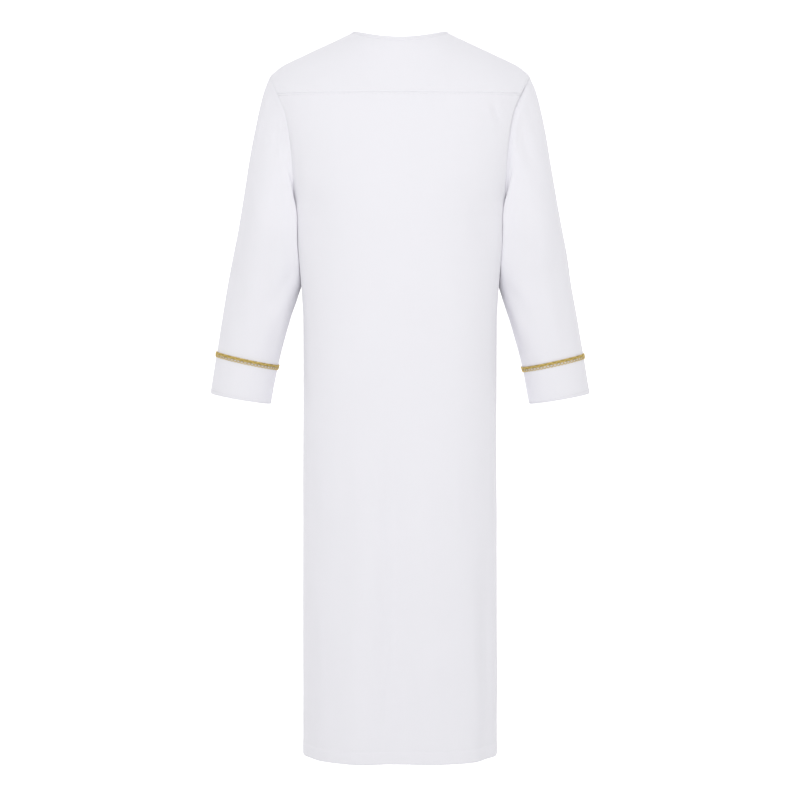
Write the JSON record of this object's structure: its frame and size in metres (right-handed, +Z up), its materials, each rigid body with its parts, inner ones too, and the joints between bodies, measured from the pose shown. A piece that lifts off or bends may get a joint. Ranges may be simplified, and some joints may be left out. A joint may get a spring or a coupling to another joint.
{
  "type": "moroccan kaftan, filled out as worn with no wearer",
  "caption": "Long straight collarless robe in white cloth with long set-in sleeves, a back yoke and gold looped braid at the cuffs, hollow as when worn.",
  "frame": {"origin": "midway between the two neck points, where the shoulder seams meet the neck opening and rest on the shoulders", "axes": "+Z up towards the neck, the front faces -Y, the back +Y, the wearer's left is +X"},
  "size_m": [0.742, 0.2723, 1.3925],
  "materials": {
    "white_cloth": "plain weave, matt with a faint sheen",
    "gold_braid": "plaited metallic thread"
  },
  "bodies": {
    "root": {"back_yoke": "white_cloth", "back_panel": "white_cloth", "front_panel": "white_cloth", "neck_binding": "white_cloth", "sleeve_left": "white_cloth", "sleeve_right": "white_cloth", "cuff_left": "white_cloth", "cuff_right": "white_cloth", "braid_left": "gold_braid", "braid_right": "gold_braid"}
  },
  "joints": []
}
